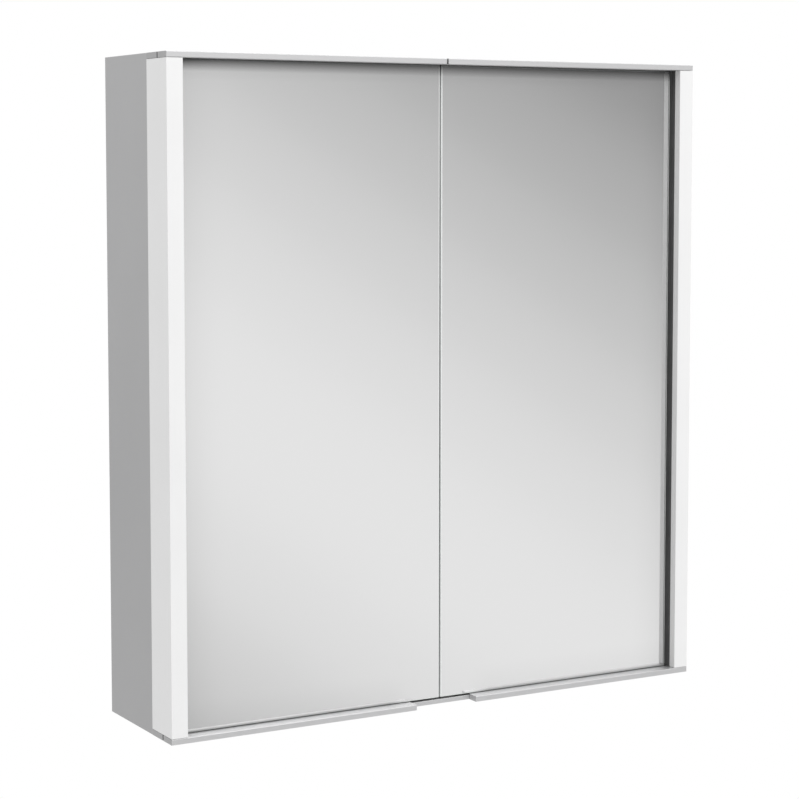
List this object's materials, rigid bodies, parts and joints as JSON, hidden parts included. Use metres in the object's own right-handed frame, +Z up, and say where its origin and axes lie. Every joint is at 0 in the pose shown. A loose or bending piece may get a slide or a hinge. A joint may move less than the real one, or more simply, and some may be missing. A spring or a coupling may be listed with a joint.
{
  "type": "mirror cabinet",
  "caption": "Wall-hung bathroom cabinet with recessed mirror doors on vertical pivots, opal light columns at the front edges, glass shelves and an inside socket and light switch.",
  "frame": {"origin": "centre of the four wall screw holes, on the wall plane", "axes": "+X to the right seen from the front, +Y into the wall, +Z up"},
  "size_m": [0.65, 0.16, 0.7],
  "materials": {
    "anodised_aluminium": "fine satin anodised",
    "back_sheet": "matt grey coat",
    "mirror_glass": "silvered glass with bevelled edges",
    "clear_glass": "polished",
    "opal_acrylic": "opal white, satin gloss",
    "black_rubber": "matt",
    "foam": "closed-cell foam",
    "bright_metal": "polished",
    "plain_steel": "zinc plated",
    "cast_alloy": "as cast",
    "bearing_plastic": "natural",
    "white_plastic": "moulded, satin gloss",
    "rocker_plastic": "moulded, satin gloss",
    "contact_brass": "bright",
    "led_board": "white solder mask",
    "lead_sheath": "flexible sheath"
  },
  "bodies": {
    "cabinet": {"top_panel": "anodised_aluminium", "bottom_panel": "anodised_aluminium", "left_side_panel": "anodised_aluminium", "right_side_panel": "anodised_aluminium", "back_panel": "back_sheet", "back_mirror": "mirror_glass", "back_mirror_pads": "foam", "screw_caps": "bright_metal", "cable_grommet": "black_rubber", "left_inner_side": "anodised_aluminium", "right_inner_side": "anodised_aluminium", "lower_shelf": "clear_glass", "middle_shelf": "clear_glass", "upper_shelf": "clear_glass", "shelf_supports": "bright_metal", "left_light_carrier": "anodised_aluminium", "right_light_carrier": "anodised_aluminium", "left_opal_cover": "opal_acrylic", "right_opal_cover": "opal_acrylic", "left_led_strip": "led_board", "right_led_strip": "led_board", "left_door_seal": "black_rubber", "right_door_seal": "black_rubber", "left_pivot_blocks": "cast_alloy", "right_pivot_blocks": "cast_alloy", "left_pivot_bushes": "bearing_plastic", "right_pivot_bushes": "bearing_plastic", "corner_blocks": "cast_alloy", "panel_screws": "plain_steel", "magnetic_catches": "white_plastic", "catch_magnets": "plain_steel", "door_bumpers": "black_rubber", "led_driver": "white_plastic", "left_led_lead": "lead_sheath", "right_led_lead": "lead_sheath", "electric_box": "white_plastic", "electric_box_cover": "white_plastic", "box_cover_screws": "plain_steel", "socket_insert": "white_plastic", "socket_contacts": "contact_brass", "switch_frame": "white_plastic"},
    "left_door": {"left_top_rail": "anodised_aluminium", "left_bottom_rail": "anodised_aluminium", "left_outer_mirror": "mirror_glass", "left_inner_mirror": "mirror_glass", "left_door_core": "foam", "left_glass_gaskets": "black_rubber", "left_pivot_pins": "plain_steel", "left_strike_plate": "plain_steel"},
    "right_door": {"right_top_rail": "anodised_aluminium", "right_bottom_rail": "anodised_aluminium", "right_outer_mirror": "mirror_glass", "right_inner_mirror": "mirror_glass", "right_door_core": "foam", "right_glass_gaskets": "black_rubber", "right_pivot_pins": "plain_steel", "right_strike_plate": "plain_steel"},
    "rocker": {"switch_rocker": "rocker_plastic"}
  },
  "joints": [
    {"name": "left_door_hinge", "type": "hinge", "parent": "cabinet", "child": "left_door", "pos_m": [-0.316, -0.152, 0], "axis": [0, 0, -1], "range_deg": [0, 110]},
    {"name": "right_door_hinge", "type": "hinge", "parent": "cabinet", "child": "right_door", "pos_m": [0.316, -0.152, 0], "axis": [0, 0, 1], "range_deg": [0, 110]},
    {"name": "switch_rocker_tilt", "type": "hinge", "parent": "cabinet", "child": "rocker", "pos_m": [0.2935, -0.0645, 0.303], "axis": [1, 0, 0], "range_deg": [0, 16]}
  ]
}
